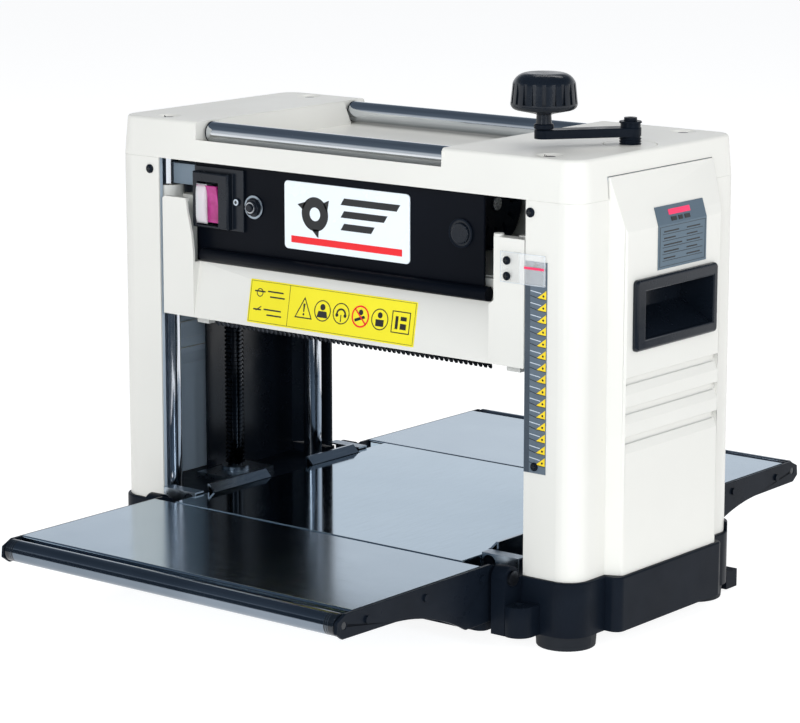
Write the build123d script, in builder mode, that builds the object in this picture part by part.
from build123d import *
import os
from math import atan2, cos, degrees, pi, radians, sin

# Portable thickness planer. Millimetres, +Z up. The origin is on the floor under the middle of the
# body. +X is the operator's right at the infeed side, -Y is the infeed side, +Y the outfeed side.

os.makedirs("parts", exist_ok=True)

# ---------------------------------------------------------------- driving dimensions
SIDES = (-1, 1)

COVER_X = 257.0  # half width over the painted side covers
COVER_Y = 120.5  # half depth of the painted side covers
COVER_R = 20.0  # plan radius of their outer corners
COLUMN_X = 204.5  # inner edge of a column
WALL = 3.0  # moulded wall
BULGE_X = 271.0  # face of the raised side panel
BULGE_Y = 71.0  # half width of the raised side panel at its face
BULGE_FOOT_Y = 77.0  # and where it meets the cover
BULGE_BEND_Z = 350.0  # the raised panel slopes back above this height
BULGE_TOP_Z = 395.0

BASE_LIP = 3.0  # the base stands out this far past the covers
BASE_UNDER_Z = 13.0  # underside of the base skirt, on top of the rubber feet
DECK_Z = 60.0  # top of the base deck
SEAM_Z = 377.0  # joint between side covers and top cover
TOP_Z = 412.0  # top of the top cover

BED_Z = 71.5  # planing surface
BED_X = 163.0
BED_NECK_X = 156.0  # half width of the bed between its side guides
BED_Y = 150.0
BED_NECK_Y = 104.0

POST_X = 212.0
POST_Y = 100.0
POST_R = 9.0
LEAD_X = 224.0  # leadscrews, at y = 0
LEAD_R = 9.0
JOURNAL_R = 7.0  # turned-down ends of the leadscrews
LEAD_PITCH = 4.0  # lead of the single-start thread, so 4 mm of height for each turn
RUNNING = 0.05  # radial clearance of a running fit

MAX_STOCK = 153.0  # tallest board
CUT_R = 24.0  # cutting circle
CUT_Z = BED_Z + MAX_STOCK + CUT_R
DRUM_X = 160.0  # half length of cutter drum and feed rollers
FEED_R = 15.0
FEED_Y = 62.0
FEED_Z = CUT_Z - CUT_R - 1.0 + FEED_R
PLATE_X = (168.0, 182.0)  # inner and outer face of the head's side plates

TABLE_X = 184.5  # half width of an extension table
TABLE_Y = (152.0, 321.0)
TABLE_ROLL_Y = 333.5
TABLE_ROLL_Z = 61.8
TABLE_ROLL_R = 9.5
HINGE_Y = 136.5
HINGE_Z = 61.0
PIN_R = 4.0

TOP_ROLL_Y = 99.0
TOP_ROLL_Z = 401.5
TOP_ROLL_R = 9.5
TOP_ROLL_X = (-159.0, 113.0)

MOTOR_Y = 18.0
MOTOR_Z = 345.0
MOTOR_R = 42.0


def write(piece, label):
    piece.part.label = label
    export_step(piece.part, f"parts/{label}.step")


def box_between(low, high, mode=Mode.ADD):
    """A box from its lowest to its highest corner."""
    middle = tuple((a + b) / 2 for a, b in zip(low, high))
    size = [b - a for a, b in zip(low, high)]
    with Locations(middle):
        Box(*size, mode=mode)


def rod_x(radius, x0, x1, y, z, mode=Mode.ADD):
    """A round bar along X."""
    with Locations(Location(((x0 + x1) / 2, y, z), (0, 90, 0))):
        Cylinder(radius, abs(x1 - x0), mode=mode)


def rod_y(radius, x, y0, y1, z, mode=Mode.ADD):
    """A round bar along Y."""
    with Locations(Location((x, (y0 + y1) / 2, z), (90, 0, 0))):
        Cylinder(radius, abs(y1 - y0), mode=mode)


def rod_z(radius, x, y, z0, z1, mode=Mode.ADD):
    """A round bar along Z."""
    with Locations((x, y, (z0 + z1) / 2)):
        Cylinder(radius, abs(z1 - z0), mode=mode)


# ---------------------------------------------------------------- base
LUG_HOLE_R = 4.5
FRONT_LUG = (211.0, -134.0)
FRONT_LUG_R = 13.5
FRONT_LUG_Z = (13.0, 39.0)
REAR_LUG = (238.0, 132.0)
REAR_LUG_X = (226.0, 250.0)
REAR_LUG_END_Y = 140.5
REAR_LUG_Z = (2.0, 18.0)
FOOT_X = 232.0
FOOT_Y = 96.0
FOOT_R = 26.0
BASE_WALL = 4.0
BOX_X = 183.0  # half width of the middle of the base, between the table arms
BOX_Y = 148.0
POD_X = (165.0, COVER_X + BASE_LIP)
POD_Y = COVER_Y + BASE_LIP
HINGE_POST_X = (191.0, 205.0)
PIN_IN_X = 172.0  # inner end of a hinge pin
UPSTAND_Z = 68.0  # raised rear corners
UPSTAND_Y = 110.5


def base_outline(inset):
    """Plan of the base: a middle box, two pods under the columns and their side pads."""
    RectangleRounded(2 * (BOX_X - inset), 2 * (BOX_Y - inset), 8 - inset / 2)
    width = POD_X[1] - POD_X[0] - 2 * inset
    for side in SIDES:
        with Locations((side * sum(POD_X) / 2, 0)):
            RectangleRounded(width, 2 * (POD_Y - inset), COVER_R + BASE_LIP - inset)
        pad_x = BULGE_X + BASE_LIP - inset
        with Locations((side * (pad_x - 20), 0)):
            RectangleRounded(40, 2 * (BULGE_FOOT_Y + BASE_LIP - inset), 8 - inset / 2)


with BuildPart() as base:
    with BuildSketch(Plane.XY.offset(BASE_UNDER_Z)):
        base_outline(0)
    extrude(amount=DECK_Z - BASE_UNDER_Z)
    rim = base.faces().sort_by(Axis.Z)[-1].outer_wire().edges()
    fillet(rim, 1.5)
    with BuildSketch(Plane.XY.offset(BASE_UNDER_Z)):
        base_outline(BASE_WALL)
    extrude(amount=DECK_Z - 5 - BASE_UNDER_Z, mode=Mode.SUBTRACT)
    for sx in SIDES:
        rod_z(12, sx * LEAD_X, 0, 40, DECK_Z, mode=Mode.SUBTRACT)
        for sy in SIDES:
            # socket of a guide post, and the pad over a rubber foot
            rod_z(15, sx * POST_X, sy * POST_Y, 38, DECK_Z - 2)
            rod_z(11, sx * FOOT_X, sy * FOOT_Y, BASE_UNDER_Z, DECK_Z - 2)
            rod_z(POST_R, sx * POST_X, sy * POST_Y, 45, DECK_Z, mode=Mode.SUBTRACT)
            # upright that carries a table hinge pin
            with BuildSketch(Plane.YZ.offset(sx * HINGE_POST_X[0])):
                with Locations((sy * HINGE_Y, HINGE_Z)):
                    Circle(10)
                with Locations((sy * (HINGE_Y - 4), (DECK_Z + BASE_UNDER_Z) / 2)):
                    Rectangle(28, DECK_Z - BASE_UNDER_Z)
            extrude(amount=sx * (HINGE_POST_X[1] - HINGE_POST_X[0]))
            x_in, x_out = sx * PIN_IN_X, sx * HINGE_POST_X[1]
            rod_x(PIN_R, x_in, x_out, sy * HINGE_Y, HINGE_Z, mode=Mode.SUBTRACT)
        # bolt lugs
        rod_z(FRONT_LUG_R, sx * FRONT_LUG[0], FRONT_LUG[1], *FRONT_LUG_Z)
        x0, x1 = sorted((sx * HINGE_POST_X[1], sx * (FRONT_LUG[0] + FRONT_LUG_R)))
        box_between((x0, FRONT_LUG[1], FRONT_LUG_Z[0]), (x1, -POD_Y + 3, FRONT_LUG_Z[1]))
        x0, x1 = sorted((sx * REAR_LUG_X[0], sx * REAR_LUG_X[1]))
        box_between((x0, POD_Y - 3, BASE_UNDER_Z), (x1, REAR_LUG_END_Y, REAR_LUG_Z[1]))
        box_between((x0, POD_Y, REAR_LUG_Z[0]), (x1, REAR_LUG_END_Y, BASE_UNDER_Z))
        rod_z(LUG_HOLE_R, sx * FRONT_LUG[0], FRONT_LUG[1], 0, 40, mode=Mode.SUBTRACT)
        rod_z(LUG_HOLE_R, sx * REAR_LUG[0], REAR_LUG[1], 0, 40, mode=Mode.SUBTRACT)
        # raised rear corner behind the cover
        with BuildSketch(Plane.XY.offset(DECK_Z - 2)):
            with Locations((sx * sum(POD_X) / 2, 0)):
                RectangleRounded(POD_X[1] - POD_X[0], 2 * POD_Y, COVER_R + BASE_LIP)
            with Locations((sx * (COVER_X - 60), 0)):
                Rectangle(200, 2 * UPSTAND_Y, mode=Mode.SUBTRACT)
            with Locations((0, -POD_Y)):
                Rectangle(600, 2 * (POD_Y + UPSTAND_Y) - 2, mode=Mode.SUBTRACT)
            with Locations((sx * (COLUMN_X - 50), POD_Y)):
                Rectangle(100, 60, mode=Mode.SUBTRACT)
        extrude(amount=UPSTAND_Z - DECK_Z + 2)
write(base, "base")

with BuildPart() as feet:
    with Locations([(sx * FOOT_X, sy * FOOT_Y, 0) for sx in SIDES for sy in SIDES]):
        Cone(
            FOOT_R - 1,
            FOOT_R,
            BASE_UNDER_Z,
            align=(Align.CENTER, Align.CENTER, Align.MIN),
        )
    fillet(feet.edges().group_by(Axis.Z)[0], 1.5)
write(feet, "feet")

with BuildPart() as hinge_pins:
    for sx in SIDES:
        for sy in SIDES:
            x_in, x_out = sx * PIN_IN_X, sx * HINGE_POST_X[1]
            rod_x(PIN_R, x_in, x_out, sy * HINGE_Y, HINGE_Z)
            rod_x(6.5, x_out, x_out + sx * 2.5, sy * HINGE_Y, HINGE_Z)
write(hinge_pins, "hinge_pins")

# ---------------------------------------------------------------- bed
with BuildPart() as bed_plate:
    with BuildSketch(Plane.XY.offset(DECK_Z)):
        Rectangle(2 * BED_NECK_X, 2 * BED_Y)
        for sy in SIDES:
            with Locations((0, sy * (BED_NECK_Y + BED_Y) / 2)):
                Rectangle(2 * BED_X, BED_Y - BED_NECK_Y)
    extrude(amount=BED_Z - DECK_Z)
    fillet(bed_plate.faces().sort_by(Axis.Z)[-1].outer_wire().edges(), 0.8)
    # the casting is hollow underneath, with a rib down each third
    with BuildSketch(Plane.XY.offset(DECK_Z)):
        with GridLocations(0, 96, 1, 3):
            Rectangle(2 * BED_NECK_X - 14, 88)
    extrude(amount=5, mode=Mode.SUBTRACT)
write(bed_plate, "bed_plate")

GUIDE_RUNS = ((-103.0, -25.0), (35.0, 103.0))  # along Y

with BuildPart() as bed_guides:
    for side in SIDES:
        for y0, y1 in GUIDE_RUNS:
            with BuildSketch(Plane.XZ.offset(-y0)):
                with BuildLine():
                    Polyline(
                        (side * 156.9, 71.9),
                        (side * 163.6, 78.6),
                        (side * 166.0, 78.6),
                        (side * 166.0, DECK_Z),
                        (side * 164.3, DECK_Z),
                        (side * 164.3, 77.0),
                        (side * 158.8, 71.5),
                        close=True,
                    )
                make_face()
            extrude(amount=-(y1 - y0))
write(bed_guides, "bed_guides")

BRACKET_X = (163.5, 201.5)
BRACKET_TOP_Z = 74.0
BRACKET_SHEET = 1.5
BRACKET_ARCH = (171.0, 65.5, 7.0)  # X, Z and radius of the round notch in its front

with BuildPart() as corner_brackets:
    for sx in SIDES:
        for sy in SIDES:
            with BuildSketch(Plane.YZ.offset(sx * BRACKET_X[0])):
                with BuildLine():
                    Polyline(
                        (sy * 123.0, DECK_Z),
                        (sy * 123.0, BRACKET_TOP_Z),
                        (sy * 111.0, BRACKET_TOP_Z),
                        (sy * 111.0, BRACKET_TOP_Z - BRACKET_SHEET),
                        (sy * (123.0 - BRACKET_SHEET), BRACKET_TOP_Z - BRACKET_SHEET),
                        (sy * (123.0 - BRACKET_SHEET), DECK_Z),
                        close=True,
                    )
                make_face()
            extrude(amount=sx * (BRACKET_X[1] - BRACKET_X[0]))
            arch_x, arch_z, arch_r = BRACKET_ARCH
            rod_y(arch_r, sx * arch_x, sy * 118, sy * 125, arch_z, mode=Mode.SUBTRACT)
            x0, x1 = sorted((sx * (arch_x - arch_r), sx * (arch_x + arch_r)))
            y0, y1 = sorted((sy * 118, sy * 125))
            box_between((x0, y0, DECK_Z - 1), (x1, y1, arch_z), mode=Mode.SUBTRACT)
write(corner_brackets, "corner_brackets")

# ---------------------------------------------------------------- columns and lift
FRAME_Z = (384.0, 387.0)

with BuildPart() as guide_posts:
    for sx in SIDES:
        for sy in SIDES:
            rod_z(POST_R, sx * POST_X, sy * POST_Y, 45, FRAME_Z[0])
    chamfer(guide_posts.edges().group_by(Axis.Z)[0], 0.8)
write(guide_posts, "guide_posts")

with BuildPart() as top_frame:
    with BuildSketch(Plane.XY.offset(FRAME_Z[0])):
        for sx in SIDES:
            with Locations((sx * 219, 0)):
                RectangleRounded(50, 228, 6)
        for sy in SIDES:
            with Locations((0, sy * 71)):
                Rectangle(420, 20)
        with Locations([(sx * LEAD_X, 0) for sx in SIDES]):
            Circle(12, mode=Mode.SUBTRACT)
    extrude(amount=FRAME_Z[1] - FRAME_Z[0])
write(top_frame, "top_frame")

with BuildPart() as leadscrew_bearings:
    for sx in SIDES:
        # foot bearing on the deck, and the bush in the top frame
        with Locations((sx * LEAD_X, 0, DECK_Z + 2.5)):
            Box(40, 64, 5)
        rod_z(12, sx * LEAD_X, 0, 45, DECK_Z)
        rod_z(13, sx * LEAD_X, 0, DECK_Z, DECK_Z + 9)
        rod_z(JOURNAL_R + RUNNING, sx * LEAD_X, 0, 44, DECK_Z + 10, mode=Mode.SUBTRACT)
    for sx in SIDES:
        rod_z(12, sx * LEAD_X, 0, FRAME_Z[0], FRAME_Z[1])
        rod_z(14, sx * LEAD_X, 0, FRAME_Z[0] - 2, FRAME_Z[0])
        rod_z(
            JOURNAL_R + RUNNING,
            sx * LEAD_X,
            0,
            FRAME_Z[0] - 3,
            FRAME_Z[1] + 1,
            mode=Mode.SUBTRACT,
        )
write(leadscrew_bearings, "leadscrew_bearings")

THREAD_Z = (74.0, 374.0)
THREAD_DEPTH = 1.3
SPROCKET_R = 16.0
SPROCKET_TEETH = 16
SPROCKET_Z = (30.0, 35.0)
CRANK_SEAT_Z = 410.4  # top of the right-hand leadscrew, where the crank sits


def leadscrew(side, top):
    """A leadscrew with ring grooves at the thread's pitch, and its sprocket below the deck."""
    with BuildPart() as screw:
        with BuildSketch(Plane.XZ):
            with BuildLine():
                outline = [(0, 26), (JOURNAL_R, 26), (JOURNAL_R, THREAD_Z[0] - 2)]
                outline += [(LEAD_R, THREAD_Z[0] - 2), (LEAD_R, THREAD_Z[0])]
                turns = int((THREAD_Z[1] - THREAD_Z[0]) / LEAD_PITCH)
                for turn in range(turns):
                    z = THREAD_Z[0] + turn * LEAD_PITCH
                    outline += [
                        (LEAD_R - THREAD_DEPTH, z + 0.4),
                        (LEAD_R - THREAD_DEPTH, z + 2.0),
                        (LEAD_R, z + 2.4),
                        (LEAD_R, z + LEAD_PITCH - 0.1),
                    ]
                outline += [(LEAD_R, THREAD_Z[1] + 2), (JOURNAL_R, THREAD_Z[1] + 2)]
                outline += [(JOURNAL_R, top), (0, top)]
                Polyline(*outline, close=True)
            make_face()
        revolve(axis=Axis.Z)
    with BuildPart() as wheel:
        with BuildSketch(Plane.XY.offset(SPROCKET_Z[0])):
            Circle(SPROCKET_R)
            with PolarLocations(SPROCKET_R + 0.8, SPROCKET_TEETH):
                Circle(2.0, mode=Mode.SUBTRACT)
            Circle(JOURNAL_R, mode=Mode.SUBTRACT)
        extrude(amount=SPROCKET_Z[1] - SPROCKET_Z[0])
    with BuildPart() as both:
        with Locations((side * LEAD_X, 0, 0)):
            add(screw.part)
            add(wheel.part)
    return both


write(leadscrew(-1, 392.0), "leadscrew_left")
write(leadscrew(1, CRANK_SEAT_Z), "leadscrew_right")

with BuildPart() as lift_chain:
    with BuildSketch(Plane.XY.offset(SPROCKET_Z[0] + 0.5)):
        SlotCenterToCenter(2 * LEAD_X, 2 * (SPROCKET_R + 3.2))
        SlotCenterToCenter(2 * LEAD_X, 2 * (SPROCKET_R + 0.4), mode=Mode.SUBTRACT)
    extrude(amount=SPROCKET_Z[1] - SPROCKET_Z[0] - 1)
write(lift_chain, "lift_chain")

# ---------------------------------------------------------------- side covers
RECESS_Y = 61.0  # half width of the carry handle's bezel
RECESS_Z = (249.0, 309.0)
RECESS_MARGIN = 3.0  # the bezel's flange laps the cover by this much
RECESS_BACK_X = 241.0
BEZEL_X = 275.5
POCKET_Y = (-48.0, 54.0)  # the carry handle's pocket
POCKET_Z = (258.5, 298.5)
POCKET_RAMP = 17.5  # its floor climbs this much from the mouth to the back
LOUVRE_Z = (228.0, 203.0, 178.0)
LOUVRE_DEPTH = 5.0
LOUVRE_RUN = 14.0


def column_outline(inset):
    """Plan of a right-hand column, with large corners outside and small ones inside."""
    x0, x1 = COLUMN_X - (2 if inset else 0), COVER_X - inset
    with Locations(((x0 + x1) / 2, 0)):
        block = Rectangle(x1 - x0, 2 * (COVER_Y - inset))
    outer = block.vertices().group_by(Axis.X)[-1]
    fillet(outer, COVER_R - inset)


def bulge_points(inset):
    """Corners of the raised panel's side elevation, in X and Z."""
    return [
        (COVER_X - 8, DECK_Z - inset),
        (BULGE_X - inset, DECK_Z - inset),
        (BULGE_X - inset, BULGE_BEND_Z - inset * 0.2),
        (COVER_X - inset, BULGE_TOP_Z - inset * 0.2),
        (COVER_X - 8, BULGE_TOP_Z - inset),
    ]


def side_cover(side):
    with BuildPart() as cover:
        with BuildSketch(Plane.XY.offset(DECK_Z)):
            column_outline(0)
        extrude(amount=SEAM_Z - DECK_Z)
        with BuildSketch(Plane.XY.offset(DECK_Z)):
            with BuildLine():
                Polyline(
                    (COVER_X - 8, -BULGE_FOOT_Y),
                    (COVER_X, -BULGE_FOOT_Y),
                    (BULGE_X, -BULGE_Y),
                    (BULGE_X, BULGE_Y),
                    (COVER_X, BULGE_FOOT_Y),
                    (COVER_X - 8, BULGE_FOOT_Y),
                    close=True,
                )
            panel = make_face()
            fillet(panel.vertices().group_by(Axis.X)[-1], 4)
        extrude(amount=BULGE_TOP_Z - DECK_Z)
        # its upper end slopes back to the cover
        with BuildSketch(Plane.XZ.offset(BULGE_FOOT_Y + 1)):
            with BuildLine():
                Polyline(
                    (BULGE_X, BULGE_BEND_Z),
                    (COVER_X, BULGE_TOP_Z),
                    (COVER_X, BULGE_TOP_Z + 5),
                    (BULGE_X + 5, BULGE_TOP_Z + 5),
                    (BULGE_X + 5, BULGE_BEND_Z),
                    close=True,
                )
            make_face()
        extrude(amount=-2 * (BULGE_FOOT_Y + 1), mode=Mode.SUBTRACT)
        # hollow behind the walls, open towards the throat
        with BuildSketch(Plane.XY.offset(DECK_Z - 1)):
            column_outline(WALL)
        extrude(amount=SEAM_Z - DECK_Z + 2, mode=Mode.SUBTRACT)
        with BuildSketch(Plane.XZ.offset(BULGE_Y - 4)):
            with BuildLine():
                Polyline(*bulge_points(WALL), close=True)
            make_face()
        extrude(amount=-2 * (BULGE_Y - 4), mode=Mode.SUBTRACT)
        # folded lip along the front inner edge
        box_between(
            (COLUMN_X, -COVER_Y + WALL - 0.5, DECK_Z),
            (COLUMN_X + 2.5, -COVER_Y + 5.5, SEAM_Z),
        )
        # louvres: each one steps in and slopes back out below
        for z in LOUVRE_Z:
            with BuildSketch(Plane.XZ.offset(BULGE_Y - 2)):
                with BuildLine():
                    Polyline(
                        (BULGE_X + 1, z),
                        (BULGE_X - LOUVRE_DEPTH, z),
                        (BULGE_X - LOUVRE_DEPTH, z - 1.5),
                        (BULGE_X, z - LOUVRE_RUN),
                        (BULGE_X + 1, z - LOUVRE_RUN),
                        close=True,
                    )
                make_face()
            extrude(amount=-2 * (BULGE_Y - 2), mode=Mode.SUBTRACT)
            with BuildSketch(Plane.XZ.offset(BULGE_Y - 4)):
                with BuildLine():
                    Polyline(
                        (BULGE_X - WALL - 1, z + 3),
                        (BULGE_X - LOUVRE_DEPTH - WALL, z + 3),
                        (BULGE_X - LOUVRE_DEPTH - WALL, z - 2),
                        (BULGE_X - WALL - 1, z - LOUVRE_RUN),
                        close=True,
                    )
                make_face()
            extrude(amount=-2 * (BULGE_Y - 4))
        # opening for the carry handle
        box_between(
            (COVER_X - 10, -RECESS_Y + RECESS_MARGIN, RECESS_Z[0] + RECESS_MARGIN),
            (BULGE_X + 10, RECESS_Y - RECESS_MARGIN, RECESS_Z[1] - RECESS_MARGIN),
            mode=Mode.SUBTRACT,
        )
        # the raised rear corner of the base stands in this notch
        box_between(
            (COLUMN_X, UPSTAND_Y - 1, DECK_Z - 1),
            (COVER_X + 5, COVER_Y + 1, UPSTAND_Z + 1),
            mode=Mode.SUBTRACT,
        )
    if side > 0:
        return cover
    with BuildPart() as other:
        add(mirror(cover.part, about=Plane.YZ, mode=Mode.PRIVATE))
    return other


def handle_recess():
    """Moulded carry handle: a bezel proud of the cover, and a pocket with a sloping floor."""
    y0, y1 = POCKET_Y
    z_low, z_high = POCKET_Z
    with BuildPart() as recess:
        with BuildSketch(Plane.YZ.offset(BULGE_X)):
            with Locations((0, sum(RECESS_Z) / 2)):
                RectangleRounded(2 * RECESS_Y, RECESS_Z[1] - RECESS_Z[0], 4)
        extrude(amount=BEZEL_X - BULGE_X)
        fillet(recess.faces().sort_by(Axis.X)[-1].outer_wire().edges(), 2.5)
        box_between(
            (RECESS_BACK_X - 2, y0 - 3, z_low - 3),
            (BULGE_X, y1 + 3, z_high + 3),
        )
        with BuildSketch(Plane.XZ.offset(-y0)):
            with BuildLine():
                Polyline(
                    (BEZEL_X + 1, z_low),
                    (BEZEL_X - 4, z_low),
                    (RECESS_BACK_X, z_low + POCKET_RAMP),
                    (RECESS_BACK_X, z_high),
                    (BEZEL_X + 1, z_high),
                    close=True,
                )
            make_face()
        extrude(amount=y0 - y1, mode=Mode.SUBTRACT)
        mouth = recess.faces().sort_by(Axis.X)[-1].inner_wires()[0].edges()
        fillet(mouth, 1.5)
    with BuildPart() as both:
        add(recess.part)
        add(mirror(recess.part, about=Plane.YZ, mode=Mode.PRIVATE))
    return both


for side, where in ((1, "right"), (-1, "left")):
    write(side_cover(side), f"side_cover_{where}")
write(handle_recess(), "handle_recesses")

LINER_X = 245.0  # dark chip guards inside the columns, behind the leadscrews
LINER_Z = (69.0, 372.0)
LINER_STEP_Z = 244.0  # above this the guard stays behind the carry handle

with BuildPart() as column_liners:
    for side in SIDES:
        with BuildSketch(Plane.XY.offset(LINER_Z[0])):
            with BuildLine():
                Polyline(
                    (side * LINER_X, -15),
                    (side * (LINER_X + 2), -15),
                    (side * (LINER_X + 2), 108.5),
                    (side * 236.5, 117.2),
                    (side * 202, 117.2),
                    (side * 202, 115.2),
                    (side * 235.7, 115.2),
                    (side * LINER_X, 107.5),
                    close=True,
                )
            make_face()
        extrude(amount=LINER_Z[1] - LINER_Z[0])
        x0, x1 = sorted((side * (LINER_X - 1), side * (LINER_X + 3)))
        box_between(
            (x0, -16, LINER_STEP_Z), (x1, 64, LINER_Z[1] + 1), mode=Mode.SUBTRACT
        )
        # the inner leaf reaches down to the deck in front of the raised rear corner
        x0, x1 = sorted((side * LINER_X, side * (LINER_X + 2)))
        box_between((x0, -15, DECK_Z), (x1, UPSTAND_Y - 2, LINER_Z[0]))
write(column_liners, "column_liners")

PLATE_Z = (313.0, 365.0)
PLATE_MID_Y = 10.0
BEVEL = (BULGE_X - COVER_X) / (BULGE_TOP_Z - BULGE_BEND_Z)

with BuildPart() as data_plate:
    bent_back = (PLATE_Z[1] - BULGE_BEND_Z) * BEVEL
    with BuildSketch(Plane.XZ.offset(-(PLATE_MID_Y - 36))):
        with BuildLine():
            Polyline(
                (BULGE_X, PLATE_Z[0]),
                (BULGE_X + 0.8, PLATE_Z[0]),
                (BULGE_X + 0.8, BULGE_BEND_Z + 0.1),
                (BULGE_X + 0.8 - bent_back, PLATE_Z[1] + 0.1),
                (BULGE_X - bent_back, PLATE_Z[1]),
                (BULGE_X, BULGE_BEND_Z),
                close=True,
            )
        make_face()
    extrude(amount=-72)
write(data_plate, "data_plate")

SCALE_X = (205.0, 227.0)
SCALE_Z = (149.5, 327.0)

with BuildPart() as height_scale:
    box_between(
        (SCALE_X[0], -COVER_Y - 0.8, SCALE_Z[0]), (SCALE_X[1], -COVER_Y, SCALE_Z[1])
    )
write(height_scale, "height_scale")

# ---------------------------------------------------------------- top cover
NOTCH_X = (-161.0, 115.5)
NOTCH_Y = 87.5  # inner edge of a roller notch
TRAY_Z = 391.0  # floor of the tray that both rollers stand in
TRAY_SHEET = 2.5
TRAY_RUN = 9.0  # the tray's ends slope over this much
LIP_Z = 396.0  # outer lip of a roller notch
LIP_THICK = 3.0
TOP_DRAFT = degrees(atan2(3.0, TOP_Z - SEAM_Z))
TOP_FILLET = 3.0
DISH = (212.0, 98.0)
CRANK_DISC_R = 23.4
BOSS_R = 10.0  # screw posts under the dishes
DISH_SCREW_R = 2.6
DISH_SCREW_Z = (TOP_Z - 2.9, TOP_Z - 1.3)  # its head


def tray_outline(inset):
    """Front elevation of the tray between the rollers, in X and Z."""
    return [
        (NOTCH_X[0] - inset, TOP_Z + 1),
        (NOTCH_X[0] - inset, TOP_Z - 1),
        (NOTCH_X[0] + TRAY_RUN - inset, TRAY_Z - inset),
        (NOTCH_X[1] - TRAY_RUN + inset, TRAY_Z - inset),
        (NOTCH_X[1] + inset, TOP_Z - 1),
        (NOTCH_X[1] + inset, TOP_Z + 1),
    ]


with BuildPart() as top_cover:
    with BuildSketch(Plane.XY.offset(SEAM_Z)):
        RectangleRounded(2 * COVER_X, 2 * COVER_Y, COVER_R)
    extrude(amount=TOP_Z - SEAM_Z, taper=TOP_DRAFT)
    fillet(top_cover.faces().sort_by(Axis.Z)[-1].outer_wire().edges(), TOP_FILLET)
    # hollow
    with BuildSketch(Plane.XY.offset(SEAM_Z)):
        RectangleRounded(2 * (COVER_X - WALL), 2 * (COVER_Y - WALL), COVER_R - WALL)
    extrude(amount=TOP_Z - SEAM_Z - WALL, taper=TOP_DRAFT, mode=Mode.SUBTRACT)
    # the tray: a sheet below its floor and ends, then the space above them
    with BuildSketch(Plane.XZ.offset(NOTCH_Y + 1)):
        with BuildLine():
            Polyline(*tray_outline(TRAY_SHEET), close=True)
        make_face()
    extrude(amount=-2 * (NOTCH_Y + 1))
    box_between(
        (NOTCH_X[0] - 40, -COVER_Y - 1, TOP_Z),
        (NOTCH_X[1] + 40, COVER_Y + 1, TOP_Z + 5),
        mode=Mode.SUBTRACT,
    )
    for sy in SIDES:
        # walls around the roller notch
        near, far = sorted((sy * (NOTCH_Y - WALL), sy * (COVER_Y - 2.2)))
        box_between(
            (NOTCH_X[0] - WALL, near, TRAY_Z - TRAY_SHEET),
            (NOTCH_X[1] + WALL, far, TOP_Z - WALL + 0.5),
        )
    with BuildSketch(Plane.XZ.offset(NOTCH_Y + 2)):
        with BuildLine():
            Polyline(*tray_outline(0), close=True)
        make_face()
    extrude(amount=-2 * (NOTCH_Y + 2), mode=Mode.SUBTRACT)
    for sy in SIDES:
        near, far = sorted((sy * NOTCH_Y, sy * (COVER_Y - LIP_THICK)))
        box_between(
            (NOTCH_X[0], near, TRAY_Z), (NOTCH_X[1], far, TOP_Z + 5), mode=Mode.SUBTRACT
        )
        near, far = sorted((sy * (COVER_Y - LIP_THICK - 1), sy * (COVER_Y + 5)))
        box_between(
            (NOTCH_X[0], near, LIP_Z), (NOTCH_X[1], far, TOP_Z + 5), mode=Mode.SUBTRACT
        )
        rod_x(
            PIN_R + RUNNING,
            NOTCH_X[0] - WALL - 1,
            NOTCH_X[1] + WALL + 1,
            sy * TOP_ROLL_Y,
            TOP_ROLL_Z,
            mode=Mode.SUBTRACT,
        )
        for sx in SIDES:
            with Locations((sx * DISH[0], sy * DISH[1], TOP_Z - 1.4)):
                Cone(6.0, 12.0, 3.0, mode=Mode.SUBTRACT)
            rod_z(BOSS_R, sx * DISH[0], sy * DISH[1], FRAME_Z[1], TOP_Z - WALL)
            at = (sx * DISH[0], sy * DISH[1])
            rod_z(DISH_SCREW_R, *at, FRAME_Z[1] - 1, TOP_Z, mode=Mode.SUBTRACT)
    # notches for the tops of the raised side panels
    for sx in SIDES:
        x0, x1 = sorted((sx * (COVER_X - 6), sx * (COVER_X + 3)))
        box_between(
            (x0, -BULGE_FOOT_Y - 1, SEAM_Z - 1),
            (x1, BULGE_FOOT_Y + 1, BULGE_TOP_Z + 0.6),
            mode=Mode.SUBTRACT,
        )
    # bearing disc of the crank, and the hole for its screw
    with BuildSketch(Plane.XY.offset(TOP_Z)):
        with Locations((LEAD_X, 0)):
            Circle(CRANK_DISC_R)
            Circle(CRANK_DISC_R - 1, mode=Mode.SUBTRACT)
    extrude(amount=-1, mode=Mode.SUBTRACT)
    rod_z(JOURNAL_R + 1.5, LEAD_X, 0, TOP_Z - WALL - 2, TOP_Z + 1, mode=Mode.SUBTRACT)
write(top_cover, "top_cover")

for sy, where in ((-1, "front"), (1, "rear")):
    with BuildPart() as top_roller:
        rod_x(TOP_ROLL_R, *TOP_ROLL_X, sy * TOP_ROLL_Y, TOP_ROLL_Z)
        chamfer(top_roller.edges(), 0.6)
        rod_x(
            PIN_R,
            TOP_ROLL_X[0] - 4.5,
            TOP_ROLL_X[1] + 5.0,
            sy * TOP_ROLL_Y,
            TOP_ROLL_Z,
        )
    write(top_roller, f"top_roller_{where}")


def dome_screw_front(x, z, radius, height, y=-COVER_Y):
    """A domed screw head on a front face."""
    with Locations(Location((x, y, z), (90, 0, 0))):
        Cylinder(
            radius,
            height * 0.5,
            align=(Align.CENTER, Align.CENTER, Align.MIN),
        )
        with Locations((0, 0, height * 0.5)):
            Cone(
                radius,
                radius * 0.55,
                height * 0.5,
                align=(Align.CENTER, Align.CENTER, Align.MIN),
            )


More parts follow.
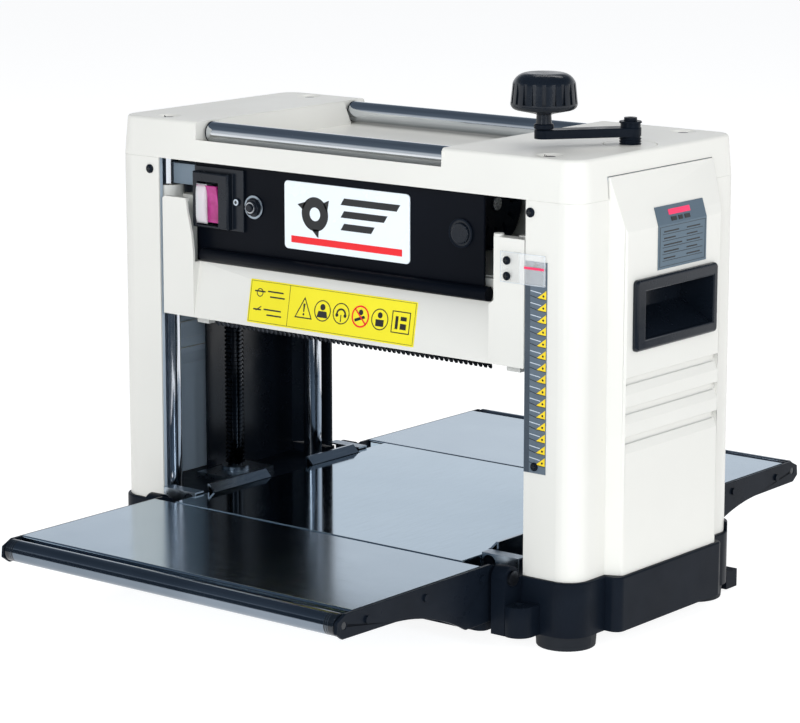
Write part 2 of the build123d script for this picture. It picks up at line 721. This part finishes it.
with BuildPart() as cover_screws:
    # at the top of each column, front and rear
    dome_screw_front(-215, 366, 4, 2.4)
    dome_screw_front(209.5, 367, 4, 2.4)
    for sx in SIDES:
        with Locations(Location((sx * 222, COVER_Y, 366), (-90, 0, 0))):
            Cylinder(4, 2, align=(Align.CENTER, Align.CENTER, Align.MIN))
    # at both ends of the height scale
    dome_screw_front(sum(SCALE_X) / 2, SCALE_Z[0] + 5.5, 3.6, 1.6, -COVER_Y - 0.8)
    dome_screw_front(sum(SCALE_X) / 2, SCALE_Z[1] - 3.5, 2.6, 0.6, -COVER_Y - 0.8)
    for sx in SIDES:
        for sy in SIDES:
            # countersunk screw in each corner dish of the top cover
            at = (sx * DISH[0], sy * DISH[1])
            rod_z(DISH_SCREW_R, *at, FRAME_Z[1], DISH_SCREW_Z[0])
            rod_z(DISH_SCREW_R + 2.0, *at, *DISH_SCREW_Z)
write(cover_screws, "cover_screws")

# ---------------------------------------------------------------- crank
CRANK_DX = -46.0
CRANK_DY = -60.0
CRANK_HUB_R = 8.5
CRANK_HUB_TOP_Z = 430.0
CRANK_ARM_Z = (419.0, 426.5)
KNOB_Z = (440.0, 474.0)
KNOB_R = 28.0
KNOB_FLUTES = 20
FLUTE_Z = (449.0, 466.5)

with BuildPart() as crank_arm:
    with BuildSketch(Plane.XY.offset(CRANK_ARM_Z[0])):
        with BuildLine():
            turn = degrees(atan2(CRANK_DY, CRANK_DX))
            a, b = radians(turn + 90), radians(turn - 90)
            Polyline(
                (LEAD_X + 9.2 * cos(a), 9.2 * sin(a)),
                (LEAD_X + 9.2 * cos(b), 9.2 * sin(b)),
                (LEAD_X + CRANK_DX + 8 * cos(b), CRANK_DY + 8 * sin(b)),
                (LEAD_X + CRANK_DX + 8 * cos(a), CRANK_DY + 8 * sin(a)),
                close=True,
            )
        make_face()
        with Locations((LEAD_X, 0)):
            Circle(9.2)
        with Locations((LEAD_X + CRANK_DX, CRANK_DY)):
            Circle(8)
    extrude(amount=CRANK_ARM_Z[1] - CRANK_ARM_Z[0])
    fillet(crank_arm.edges().group_by(Axis.Z)[-1], 1.2)
    rod_z(CRANK_HUB_R, LEAD_X, 0, CRANK_SEAT_Z, CRANK_HUB_TOP_Z)
    rod_z(PIN_R, LEAD_X + CRANK_DX, CRANK_DY, CRANK_ARM_Z[1] - 1, 466)
write(crank_arm, "crank_arm")

with BuildPart() as crank_screw:
    rod_z(9.3, LEAD_X, 0, CRANK_HUB_TOP_Z, CRANK_HUB_TOP_Z + 1.5)
    rod_z(5.5, LEAD_X, 0, CRANK_HUB_TOP_Z + 1.5, CRANK_HUB_TOP_Z + 4.5)
    with BuildSketch(Plane.XY.offset(CRANK_HUB_TOP_Z + 4.5)):
        with Locations((LEAD_X, 0)):
            RegularPolygon(3.0, 6)
    extrude(amount=-2.2, mode=Mode.SUBTRACT)
write(crank_screw, "crank_screw")

KNOB_X = LEAD_X + CRANK_DX
KNOB_FOOT_Z = CRANK_ARM_Z[1] + 0.4

with BuildPart() as crank_knob:
    knob_plane = Plane(origin=(KNOB_X, CRANK_DY, 0), x_dir=(1, 0, 0), z_dir=(0, -1, 0))
    with BuildSketch(knob_plane):
        with BuildLine():
            Polyline(
                (KNOB_R - 13.0, KNOB_Z[1]),
                (0, KNOB_Z[1]),
                (0, KNOB_FOOT_Z),
                (7.0, KNOB_FOOT_Z),
                (6.2, KNOB_Z[0] - 1),
                (9.0, KNOB_Z[0]),
                (23.5, KNOB_Z[0] + 3.2),
            )
            ThreePointArc(
                (23.5, KNOB_Z[0] + 3.2),
                (27.0, KNOB_Z[0] + 5.2),
                (KNOB_R, KNOB_Z[0] + 9.5),
            )
            Line((KNOB_R, KNOB_Z[0] + 9.5), (KNOB_R - 1.6, KNOB_Z[1] - 9))
            ThreePointArc(
                (KNOB_R - 1.6, KNOB_Z[1] - 9),
                (KNOB_R - 5.5, KNOB_Z[1] - 3.0),
                (KNOB_R - 13.0, KNOB_Z[1]),
            )
        make_face()
    revolve(axis=Axis((KNOB_X, CRANK_DY, 0), (0, 0, 1)))
    with Locations((KNOB_X, CRANK_DY, sum(FLUTE_Z) / 2)):
        with PolarLocations(KNOB_R + 0.1, KNOB_FLUTES):
            Box(4.4, 3.2, FLUTE_Z[1] - FLUTE_Z[0], mode=Mode.SUBTRACT)
    rod_z(
        PIN_R + RUNNING, KNOB_X, CRANK_DY, CRANK_ARM_Z[1], 466.4, mode=Mode.SUBTRACT
    )
write(crank_knob, "crank_knob")

# ---------------------------------------------------------------- moving head: structure
HEAD_POST_BOSS = (248.0, 351.0)  # height of the guide bosses
ARM_TOP_Z = 342.0  # top of the arms that carry them
BRIDGE_X = (206.0, 237.0)
HEAD_BOSS_R = 14.5
BUSH_R = 12.5
FRONT_BEAM_Z = (262.0, 302.0)
HEAD_DECK_Z = (300.0, 303.0)
NUT_Z = (262.0, 272.0, 294.0)  # plate bottom, plate top, top of the nut
SIDE_PLATE_Z = (226.0, 330.0)

with BuildPart() as head_casting:
    for side in SIDES:
        x0, x1 = sorted((side * PLATE_X[0], side * PLATE_X[1]))
        box_between((x0, -96, SIDE_PLATE_Z[0]), (x1, 96, SIDE_PLATE_Z[1]))
        for sy in SIDES:
            # guide boss round a post, and the arm that carries it
            rod_z(HEAD_BOSS_R, side * POST_X, sy * POST_Y, *HEAD_POST_BOSS)
            near, far = sorted((side * (PLATE_X[1] - 2), side * POST_X))
            y0, y1 = sorted((sy * (POST_Y - 14), sy * (POST_Y - 4)))
            box_between((near, y0, 256), (far, y1, ARM_TOP_Z))
        # bridge from boss to boss that rests on the lift nut
        near, far = sorted((side * BRIDGE_X[0], side * BRIDGE_X[1]))
        box_between((near, -90, NUT_Z[0]), (far, 90, NUT_Z[1]))
        rod_z(
            LEAD_R + 1.5,
            side * LEAD_X,
            0,
            NUT_Z[0] - 1,
            NUT_Z[1] + 1,
            mode=Mode.SUBTRACT,
        )
        for sy in SIDES:
            rod_z(
                BUSH_R,
                side * POST_X,
                sy * POST_Y,
                HEAD_POST_BOSS[0] - 1,
                HEAD_POST_BOSS[1] + 1,
                mode=Mode.SUBTRACT,
            )
            # seat of a feed roller's bearing
            rod_x(12, x0 - 1, x1 + 1, sy * FEED_Y, FEED_Z, mode=Mode.SUBTRACT)
        # seat of the cutter's bearing
        rod_x(17, x0 - 1, x1 + 1, 0, CUT_Z, mode=Mode.SUBTRACT)
    for sy in SIDES:
        y0, y1 = sorted((sy * 84, sy * 94))
        box_between((-PLATE_X[0], y0, FRONT_BEAM_Z[0]), (PLATE_X[0], y1, FRONT_BEAM_Z[1]))
    # deck over the cutter, and the cradle of the motor
    box_between((-PLATE_X[0], -86, HEAD_DECK_Z[0]), (PLATE_X[0], 86, HEAD_DECK_Z[1]))
    for x in (-120.0, 40.0):
        with BuildSketch(Plane.YZ.offset(x)):
            with Locations((MOTOR_Y, MOTOR_Z - 28)):
                Rectangle(70, 2 * (MOTOR_Z - 28 - HEAD_DECK_Z[1]) + 1)
            with Locations((MOTOR_Y, MOTOR_Z)):
                Circle(MOTOR_R, mode=Mode.SUBTRACT)
        extrude(amount=12)
write(head_casting, "head_casting")

with BuildPart() as head_bushings:
    for sx in SIDES:
        for sy in SIDES:
            at = (sx * POST_X, sy * POST_Y)
            rod_z(BUSH_R, *at, *HEAD_POST_BOSS)
            rod_z(HEAD_BOSS_R - 0.5, *at, HEAD_POST_BOSS[0] - 4, HEAD_POST_BOSS[0])
            rod_z(POST_R + RUNNING, *at, 240, 360, mode=Mode.SUBTRACT)
write(head_bushings, "head_bushings")

with BuildPart() as lift_nuts:
    for side in SIDES:
        rod_z(13.0, side * LEAD_X, 0, NUT_Z[1], NUT_Z[2])
        rod_z(
            LEAD_R + RUNNING,
            side * LEAD_X,
            0,
            NUT_Z[1] - 1,
            NUT_Z[2] + 1,
            mode=Mode.SUBTRACT,
        )
write(lift_nuts, "lift_nuts")

# ---------------------------------------------------------------- moving head: covers
FRONT_Z = 236.0  # bottom edge of the painted front cover
ARM_L = (-200.5, -172.4)
ARM_R = (170.0, 203.5)
ARM_L_TOP_Z = 343.0
ARM_R_TOP_Z = 343.5
CREASE_L = -164.0
CREASE_R = 167.0
BAND_TOP_Z = 286.0
BAND_TOP_Y = -111.5
SHEET = 2.5
FLANGE_Y = -115.5  # the bottom edge turns under as far as this
TAB_R = 4.3  # rolled edge of the right-hand arm

with BuildPart() as front_cover:
    # arms flush with the columns, the left one narrowing above the crease
    with BuildSketch(Plane.XZ.offset(COVER_Y - SHEET)):
        with BuildLine():
            Polyline(
                (ARM_L[0], FRONT_Z),
                (ARM_L[0], ARM_L_TOP_Z - 2),
                (ARM_L[0] + 2, ARM_L_TOP_Z),
                (ARM_L[1], ARM_L_TOP_Z),
                (-170.5, 331),
                (-166, 312),
                (CREASE_L, 296),
                (CREASE_L, FRONT_Z),
                close=True,
            )
        make_face()
        with BuildLine():
            Polyline(
                (CREASE_R, FRONT_Z),
                (CREASE_R, BAND_TOP_Z),
                (ARM_R[0] + 2, BAND_TOP_Z + 4),
                (ARM_R[0] + 2, ARM_R_TOP_Z),
                (ARM_R[1], ARM_R_TOP_Z),
                (ARM_R[1], FRONT_Z),
                close=True,
            )
        make_face()
    extrude(amount=SHEET)
    # rolled edge and top ledge of the right-hand arm
    rod_z(TAB_R, ARM_R[0] + TAB_R, -COVER_Y + TAB_R, BAND_TOP_Z + 4, ARM_R_TOP_Z + 2.5)
    box_between(
        (ARM_R[0] + TAB_R, -COVER_Y, ARM_R_TOP_Z - SHEET), (195, -109, ARM_R_TOP_Z)
    )
    # top ledge and inner return of the left-hand arm
    box_between(
        (ARM_L[0] + 3, -COVER_Y, ARM_L_TOP_Z - SHEET), (ARM_L[1], -116, ARM_L_TOP_Z)
    )
    box_between(
        (ARM_L[0], -COVER_Y, FRONT_Z), (ARM_L[0] + SHEET, -116, ARM_L_TOP_Z - 2)
    )
    # sloping band between the creases
    with BuildSketch(Plane.YZ.offset(CREASE_L)):
        with BuildLine():
            Polyline(
                (-COVER_Y, FRONT_Z),
                (BAND_TOP_Y, BAND_TOP_Z),
                (BAND_TOP_Y + 7.5, BAND_TOP_Z),
                (BAND_TOP_Y + 7.5, BAND_TOP_Z - SHEET),
                (BAND_TOP_Y + SHEET, BAND_TOP_Z - SHEET),
                (-COVER_Y + SHEET, FRONT_Z + SHEET),
                (FLANGE_Y, FRONT_Z + SHEET),
                (FLANGE_Y, FRONT_Z),
                close=True,
            )
        make_face()
    extrude(amount=CREASE_R - CREASE_L)
    # returns that close the step at each crease
    for x0 in (CREASE_L - SHEET, CREASE_R):
        box_between((x0, -COVER_Y, FRONT_Z), (x0 + SHEET, -104, BAND_TOP_Z))
    # bottom edge turned under at each end
    for x0, x1 in ((ARM_L[0], CREASE_L), (CREASE_R, ARM_R[1])):
        box_between((x0, -COVER_Y, FRONT_Z), (x1, FLANGE_Y, FRONT_Z + SHEET))
write(front_cover, "front_cover")

PANEL_Y = -106.5
PANEL_X = (-172.0, 151.5)
NOSE_R = 6.0
HOOD_TOP_Z = 385.0  # top edge of the front and rear panels, below the top cover's ledge

SWITCH_X = (-171.5, -113.5)
SWITCH_Z = (316.5, 371.6)
HOOD_X = (-169.0, -126.5)
HOOD_Z = (317.5, 367.5)
ROCKER_X = (-162.0, -139.0)
ROCKER_Z = (321.0, 358.0)
SWITCH_DEPTH = 9.0


def rocker_window(y0, y1):
    """Clears the rocker through a plate."""
    box_between(
        (ROCKER_X[0] - 1, y0, ROCKER_Z[0] - 1),
        (ROCKER_X[1] + 1, y1, ROCKER_Z[1] + 1),
        mode=Mode.SUBTRACT,
    )


with BuildPart() as front_panel:
    box_between(
        (PANEL_X[0], PANEL_Y, BAND_TOP_Z), (PANEL_X[1], PANEL_Y + 3, HOOD_TOP_Z)
    )
    # bull-nose along the bottom edge
    nose_x = (CREASE_L + 3, PANEL_X[1] + 8)
    rod_x(NOSE_R, *nose_x, PANEL_Y - 3.5, BAND_TOP_Z + NOSE_R)
    box_between(
        (nose_x[0], PANEL_Y - 3.5, BAND_TOP_Z), (nose_x[1], PANEL_Y, BAND_TOP_Z + 2 * NOSE_R)
    )
    fillet(
        front_panel.edges().filter_by(Axis.Z).filter_by_position(Axis.Z, 335, 345), 1
    )
    rocker_window(PANEL_Y - 1, PANEL_Y + 4)
write(front_panel, "front_panel")

with BuildPart() as rear_cover:
    box_between((-166, 103.5, 240), (166, 106.5, HOOD_TOP_Z))
    box_between((-166, 94.5, 240), (166, 104, 243))
    box_between((-166, 94.5, 296), (166, 104, 299))
    # vents for the motor
    with Locations((-50, 105, 350)):
        with GridLocations(24, 16, 8, 3):
            Box(16, 10, 6, mode=Mode.SUBTRACT)
    rod_y(7.0, -145, 100, 110, 300, mode=Mode.SUBTRACT)
write(rear_cover, "rear_cover")

with BuildPart() as cord_gland:
    rod_y(7.0, -145, 103.5, 106.5, 300)
    rod_y(10.0, -145, 106.5, 110, 300)
    with Locations(Location((-145, 110, 300), (-90, 0, 0))):
        Cone(8.5, 5.5, 10, align=(Align.CENTER, Align.CENTER, Align.MIN))
    rod_y(3.5, -145, 90, 125, 300, mode=Mode.SUBTRACT)
write(cord_gland, "cord_gland")

with BuildPart() as switch_plate:
    box_between(
        (SWITCH_X[0], PANEL_Y - 2.5, SWITCH_Z[0]), (SWITCH_X[1], PANEL_Y, SWITCH_Z[1])
    )
    # raised guard round the rocker
    box_between(
        (HOOD_X[0], PANEL_Y - SWITCH_DEPTH, HOOD_Z[0]),
        (HOOD_X[1], PANEL_Y - 2.5, HOOD_Z[1]),
    )
    fillet(switch_plate.faces().sort_by(Axis.Y)[0].outer_wire().edges(), 2.0)
    rocker_window(PANEL_Y - SWITCH_DEPTH - 1, PANEL_Y + 1)
write(switch_plate, "switch_plate")

ROCKER_PIVOT_Z = sum(ROCKER_Z) / 2

with BuildPart() as switch_rocker:
    with BuildSketch(Plane.YZ.offset(ROCKER_X[0])):
        with BuildLine():
            Polyline(
                (PANEL_Y - 0.6, ROCKER_Z[0] + 4),
                (PANEL_Y - 7.0, ROCKER_Z[0] + 1.2),
                (PANEL_Y - 7.6, ROCKER_PIVOT_Z),
                (PANEL_Y - 10.5, ROCKER_Z[1] - 1.8),
                (PANEL_Y - 0.6, ROCKER_Z[1] - 4),
                close=True,
            )
        make_face()
    extrude(amount=ROCKER_X[1] - ROCKER_X[0])
    fillet(switch_rocker.edges().filter_by(Axis.X), 0.6)
write(switch_rocker, "switch_rocker")

BREAKER = (-102.7, 340.0)
BUTTON_R = 3.6

with BuildPart() as breaker_nut:
    rod_y(10.6, BREAKER[0], PANEL_Y - 1.2, PANEL_Y, BREAKER[1])
    with BuildSketch(Plane.XZ.offset(-PANEL_Y + 1.2)):
        with Locations(BREAKER):
            RegularPolygon(8.1, 6)
    extrude(amount=3.2)
    rod_y(6.0, BREAKER[0], PANEL_Y - 6.0, PANEL_Y - 4.4, BREAKER[1])
    rod_y(
        BUTTON_R + RUNNING,
        BREAKER[0],
        PANEL_Y - 7,
        PANEL_Y + 1,
        BREAKER[1],
        mode=Mode.SUBTRACT,
    )
write(breaker_nut, "breaker_nut")

with BuildPart() as breaker_button:
    rod_y(BUTTON_R, BREAKER[0], PANEL_Y - 8.4, PANEL_Y - 2.6, BREAKER[1])
    fillet(breaker_button.edges().group_by(Axis.Y)[0], 1.0)
write(breaker_button, "breaker_button")

with BuildPart() as badge:
    with BuildSketch(Plane.XZ.offset(-PANEL_Y)):
        with Locations((3, 337.5)):
            RectangleRounded(140, 60, 4)
    extrude(amount=1)
    fillet(badge.faces().sort_by(Axis.Y)[0].outer_wire().edges(), 0.5)
write(badge, "badge")

with BuildPart() as panel_plug:
    rod_y(12.4, 127.6, PANEL_Y - 1.2, PANEL_Y, 340)
    rod_y(9.0, 127.6, PANEL_Y - 3.0, PANEL_Y - 1.2, 340)
    fillet(panel_plug.edges().group_by(Axis.Y)[0], 1.2)
write(panel_plug, "panel_plug")

BAND_TILT = degrees(atan2(BAND_TOP_Y + COVER_Y, BAND_TOP_Z - FRONT_Z))
LABEL_Z = (239.5, 278.0)
LABEL_X = (-101.0, 87.0)
band_plane = Plane(
    origin=(sum(LABEL_X) / 2, -COVER_Y, FRONT_Z),
    x_dir=(1, 0, 0),
    z_dir=(0, -cos(radians(BAND_TILT)), sin(radians(BAND_TILT))),
)

with BuildPart() as warning_label:
    with BuildSketch(band_plane):
        with Locations((0, sum(LABEL_Z) / 2 - FRONT_Z)):
            RectangleRounded(LABEL_X[1] - LABEL_X[0], LABEL_Z[1] - LABEL_Z[0], 1)
    extrude(amount=0.4)
write(warning_label, "warning_label")

POINTER_Z = (307.0, 333.0)
POINTER_X = (181.0, 226.6)

with BuildPart() as height_pointer:
    box_between(
        (POINTER_X[0], -COVER_Y - 3.1, POINTER_Z[0]),
        (POINTER_X[1], -COVER_Y - 1.5, POINTER_Z[1]),
    )
    box_between(
        (POINTER_X[0], -COVER_Y - 1.6, POINTER_Z[0]),
        (POINTER_X[0] + 18, -COVER_Y, POINTER_Z[1]),
    )
write(height_pointer, "height_pointer")

with BuildPart() as head_screws:
    for z in (312.5, 325.5):
        dome_screw_front(188.0, z, 3.6, 1.8, -COVER_Y - 3.1)
    dome_screw_front(-120.8, 343.0, 3.6, 2.0, PANEL_Y - 2.5)
write(head_screws, "head_screws")

# ---------------------------------------------------------------- moving head: drive
CUT_PULLEY_R = 20.0
MOTOR_PULLEY_R = 10.0
BELT_X = (-199.0, -190.0)
BELT_GAP = 0.35  # keeps the still belt off the turning pulleys
CUT_SHAFT_R = 10.0
CUT_JOURNAL_R = 8.0
FEED_CORE_R = 7.0


def belt_hull(extra):
    """Two circles and their outer tangents as one face, in Y and Z."""
    dy, dz = MOTOR_Y, MOTOR_Z - CUT_Z
    span = (dy * dy + dz * dz) ** 0.5
    lean = atan2(dz, dy)
    big, small = CUT_PULLEY_R + extra, MOTOR_PULLEY_R + extra
    spread = pi / 2 - (big - small) / span
    points = [
        (big * cos(lean + spread), CUT_Z + big * sin(lean + spread)),
        (MOTOR_Y + small * cos(lean + spread), MOTOR_Z + small * sin(lean + spread)),
        (MOTOR_Y + small * cos(lean - spread), MOTOR_Z + small * sin(lean - spread)),
        (big * cos(lean - spread), CUT_Z + big * sin(lean - spread)),
    ]
    with BuildSketch(Plane.YZ.offset(BELT_X[0] + 1.5)) as hull:
        with BuildLine():
            Polyline(*points, close=True)
        make_face()
        with Locations((0, CUT_Z)):
            Circle(big)
        with Locations((MOTOR_Y, MOTOR_Z)):
            Circle(small)
    return hull.sketch


with BuildPart() as drive_belt:
    extrude(belt_hull(BELT_GAP + 3.0), amount=6)
    extrude(belt_hull(BELT_GAP), amount=6, mode=Mode.SUBTRACT)
write(drive_belt, "drive_belt")

with BuildPart() as motor_housing:
    rod_x(MOTOR_R, -150, 70, MOTOR_Y, MOTOR_Z)
    fillet(motor_housing.edges(), 5)
    rod_x(MOTOR_R - 4, -146, 66, MOTOR_Y, MOTOR_Z, mode=Mode.SUBTRACT)
    rod_x(6.05, -160, 80, MOTOR_Y, MOTOR_Z, mode=Mode.SUBTRACT)
    # cooling slots in the end away from the belt
    with Locations(Location((68, MOTOR_Y, MOTOR_Z), (0, 90, 0))):
        with PolarLocations(26, 12):
            Box(10, 4, 12, mode=Mode.SUBTRACT)
write(motor_housing, "motor_housing")

with BuildPart() as motor_rotor:
    rod_x(6.0, BELT_X[0] - 0.5, 72, MOTOR_Y, MOTOR_Z)
    rod_x(27.0, -110, 20, MOTOR_Y, MOTOR_Z)
    rod_x(14.0, 34, 54, MOTOR_Y, MOTOR_Z)
    rod_x(MOTOR_PULLEY_R, *BELT_X, MOTOR_Y, MOTOR_Z)
write(motor_rotor, "motor_rotor")

BELT_COVER_X = (-202.0, -PLATE_X[1])
BELT_COVER_WALL = 1.5
BELT_COVER_TOP_Z = 371.0
BELT_COVER_SHELF_Z = 352.5  # the forward part passes over the guide boss


def belt_cover_outline(inset):
    """Corners of the belt cover's side elevation, in Y and Z."""
    return [
        (-104 + inset, BELT_COVER_TOP_Z - inset),
        (38 - inset, BELT_COVER_TOP_Z - inset),
        (38 - inset, 222 + inset),
        (-30 + inset, 222 + inset),
        (-30 + inset, BELT_COVER_SHELF_Z + inset),
        (-104 + inset, BELT_COVER_SHELF_Z + inset),
    ]


GEARBOX_Z = (224.0, 262.0)
GEARBOX_X = (PLATE_X[1], PLATE_X[1] + 16)
GEARBOX_Y = 82.0

with BuildPart() as drive_covers:
    # moulded cover over the belt
    with BuildSketch(Plane.YZ.offset(BELT_COVER_X[0])):
        with BuildLine():
            Polyline(*belt_cover_outline(0), close=True)
        make_face()
    extrude(amount=BELT_COVER_X[1] - BELT_COVER_X[0])
    with BuildSketch(Plane.YZ.offset(BELT_COVER_X[0] + BELT_COVER_WALL)):
        with BuildLine():
            Polyline(*belt_cover_outline(BELT_COVER_WALL), close=True)
        make_face()
    extrude(amount=BELT_COVER_X[1] - BELT_COVER_X[0], mode=Mode.SUBTRACT)
    # front tongue that closes the gap beside the panel
    box_between(
        (BELT_COVER_X[1], -104, BELT_COVER_SHELF_Z), (-174, -101, BELT_COVER_TOP_Z)
    )
    # cover over the feed rollers' gears, on the other side plate
    box_between(
        (GEARBOX_X[0], -GEARBOX_Y, GEARBOX_Z[0]),
        (GEARBOX_X[1], GEARBOX_Y, GEARBOX_Z[1]),
    )
    fillet(drive_covers.faces().sort_by(Axis.X)[-1].edges(), 4)
    box_between(
        (GEARBOX_X[0] - 1, -GEARBOX_Y + WALL, GEARBOX_Z[0] + WALL),
        (GEARBOX_X[1] - WALL, GEARBOX_Y - WALL, GEARBOX_Z[1] - WALL),
        mode=Mode.SUBTRACT,
    )
write(drive_covers, "drive_covers")

KNIFE_TURNS = (0.0, 180.0)
KNIFE_Y = -3.0
KNIFE_MID_R = CUT_R - 3.0


def knife_places():
    """Where each knife stands in the drum, tip on the cutting circle."""
    places = []
    for turn in KNIFE_TURNS:
        way = cos(radians(turn))
        places.append(Location((0, KNIFE_Y * way, CUT_Z - KNIFE_MID_R * way), (turn, 0, 0)))
    return places


with BuildPart() as cutterhead:
    rod_x(CUT_R - 1.5, -DRUM_X, DRUM_X, 0, CUT_Z)
    # a gullet and a slot for each knife
    for turn in KNIFE_TURNS:
        with Locations(Location((0, 0, CUT_Z), (turn, 0, 0))):
            with Locations((0, -9, -CUT_R + 2)):
                Box(2 * DRUM_X, 12, 9, rotation=(25, 0, 0), mode=Mode.SUBTRACT)
    with Locations(*knife_places()):
        Box(2 * DRUM_X - 8, 1.8, 5.8, mode=Mode.SUBTRACT)
    rod_x(CUT_SHAFT_R, -PLATE_X[1], PLATE_X[1], 0, CUT_Z)
    rod_x(CUT_JOURNAL_R, BELT_X[0] - 0.5, -PLATE_X[1], 0, CUT_Z)
    rod_x(CUT_JOURNAL_R, PLATE_X[1], PLATE_X[1] + 8, 0, CUT_Z)
    rod_x(CUT_PULLEY_R, *BELT_X, 0, CUT_Z)
write(cutterhead, "cutterhead")

with BuildPart() as cutter_knives:
    with Locations(*knife_places()):
        Box(2 * DRUM_X - 8, 1.8, 5.8)
write(cutter_knives, "cutter_knives")

for sy, where in ((-1, "infeed"), (1, "outfeed")):
    with BuildPart() as feed_roller:
        rod_x(FEED_R, -DRUM_X, DRUM_X, sy * FEED_Y, FEED_Z)
        chamfer(feed_roller.edges(), 1)
        rod_x(FEED_CORE_R, -PLATE_X[1], PLATE_X[1] + 4, sy * FEED_Y, FEED_Z)
    write(feed_roller, f"{where}_feed_roller")

with BuildPart() as head_bearings:
    for side in SIDES:
        x0, x1 = sorted((side * PLATE_X[0], side * PLATE_X[1]))
        rod_x(17, x0, x1, 0, CUT_Z)
        rod_x(CUT_SHAFT_R + RUNNING, x0 - 1, x1 + 1, 0, CUT_Z, mode=Mode.SUBTRACT)
        for sy in SIDES:
            rod_x(12, x0, x1, sy * FEED_Y, FEED_Z)
            rod_x(
                FEED_CORE_R + RUNNING,
                x0 - 1,
                x1 + 1,
                sy * FEED_Y,
                FEED_Z,
                mode=Mode.SUBTRACT,
            )
write(head_bearings, "head_bearings")

FINGERS = 60
FINGER_PITCH = 5.2
FINGER_THICK = 2.4
FINGER_ROD = (-107.5, 252.0)

with BuildPart() as anti_kickback_rod:
    rod_x(PIN_R, CREASE_L, CREASE_R, *FINGER_ROD)
write(anti_kickback_rod, "anti_kickback_rod")

with BuildPart() as finger:
    with BuildSketch(Plane.YZ.offset(-FINGER_THICK / 2)):
        with Locations(FINGER_ROD):
            Circle(7)
        with BuildLine():
            Polyline(
                (FINGER_ROD[0] - 5.5, FINGER_ROD[1] - 4),
                (FINGER_ROD[0] - 1.5, FINGER_ROD[1] - 14),
                (FINGER_ROD[0] + 8.5, FINGER_ROD[1] - 25.5),
                (FINGER_ROD[0] + 9.5, FINGER_ROD[1] - 24.5),
                (FINGER_ROD[0] + 6.0, FINGER_ROD[1] - 3),
                close=True,
            )
        make_face()
        with Locations(FINGER_ROD):
            Circle(PIN_R + RUNNING, mode=Mode.SUBTRACT)
    extrude(amount=FINGER_THICK)

with BuildPart() as anti_kickback_fingers:
    first = -(FINGERS - 1) / 2 * FINGER_PITCH
    with Locations([(first + n * FINGER_PITCH, 0, 0) for n in range(FINGERS)]):
        add(finger.part)
write(anti_kickback_fingers, "anti_kickback_fingers")

# ---------------------------------------------------------------- extension tables
ARM_THICK = 3.0
TABLE_SHEET = 2.5


def table(sy):
    """Sheet-metal table: a top with its edges turned down."""
    with BuildPart() as top:
        near, far = sorted((sy * TABLE_Y[0], sy * TABLE_Y[1]))
        box_between((-TABLE_X, near, BED_Z - 14), (TABLE_X, far, BED_Z))
        long_edges = top.edges().filter_by(Axis.X).group_by(Axis.Z)[-1]
        fillet(long_edges, 2.0)
        near, far = sorted((sy * (TABLE_Y[0] - 1), sy * (TABLE_Y[1] - TABLE_SHEET)))
        box_between(
            (-TABLE_X + TABLE_SHEET, near, BED_Z - 15),
            (TABLE_X - TABLE_SHEET, far, BED_Z - TABLE_SHEET),
            mode=Mode.SUBTRACT,
        )
        # a rib across the underside
        mid = sy * (TABLE_Y[0] + TABLE_Y[1]) / 2
        box_between(
            (-TABLE_X + 10, mid - 12, BED_Z - 10), (TABLE_X - 10, mid + 12, BED_Z - 2)
        )
        box_between(
            (-TABLE_X + 9, mid - 10, BED_Z - 11),
            (TABLE_X - 9, mid + 10, BED_Z - TABLE_SHEET),
            mode=Mode.SUBTRACT,
        )
    return top


def table_arms(sy):
    """Side plates of a table, deep at the hinge and slim at the roller."""
    with BuildPart() as arms:
        for sx in SIDES:
            with BuildSketch(Plane.YZ.offset(sx * TABLE_X)):
                with BuildLine():
                    Polyline(
                        (sy * 268, 50.0),
                        (sy * (TABLE_ROLL_Y + 2), 51.0),
                        (sy * (TABLE_ROLL_Y + 9.5), 56.5),
                        (sy * (TABLE_ROLL_Y + 8.5), 66.0),
                        (sy * (TABLE_ROLL_Y - 2), BED_Z - 0.5),
                        (sy * (HINGE_Y + 6), BED_Z - 0.5),
                        (sy * (HINGE_Y - 7), HINGE_Z + 6),
                        (sy * (HINGE_Y - 8), HINGE_Z - 4),
                        (sy * 140, 22.0),
                        (sy * 176, 22.0),
                    )
                    ThreePointArc((sy * 176, 22.0), (sy * 212, 38.5), (sy * 268, 50.0))
                make_face()
                with Locations((sy * HINGE_Y, HINGE_Z)):
                    Circle(PIN_R + RUNNING, mode=Mode.SUBTRACT)
                with Locations((sy * TABLE_ROLL_Y, TABLE_ROLL_Z)):
                    Circle(3 + RUNNING, mode=Mode.SUBTRACT)
            extrude(amount=sx * ARM_THICK)
    return arms


ARM_SCREWS = ((155.0, 61.0), (230.0, 61.7), (305.0, 60.7))  # Y and Z
ARM_SCREW_R = 3.2
ARM_SCREW_HEAD = 1.8


def table_screws(sy):
    """Heads of the screws that hold the side plates to the table."""
    with BuildPart() as screws:
        for sx in SIDES:
            for y, z in ARM_SCREWS:
                x_out = sx * (TABLE_X + ARM_THICK)
                rod_x(ARM_SCREW_R, x_out, x_out + sx * ARM_SCREW_HEAD, sy * y, z)
    return screws


for sy, where in ((-1, "infeed"), (1, "outfeed")):
    write(table(sy), f"{where}_table")
    write(table_arms(sy), f"{where}_table_arms")
    write(table_screws(sy), f"{where}_table_screws")
    with BuildPart() as end_roller:
        rod_x(TABLE_ROLL_R, -TABLE_X + 1, TABLE_X - 1, sy * TABLE_ROLL_Y, TABLE_ROLL_Z)
        chamfer(end_roller.edges(), 0.8)
        rod_x(3, -TABLE_X - 2.5, TABLE_X + 2.5, sy * TABLE_ROLL_Y, TABLE_ROLL_Z)
    write(end_roller, f"{where}_table_roller")
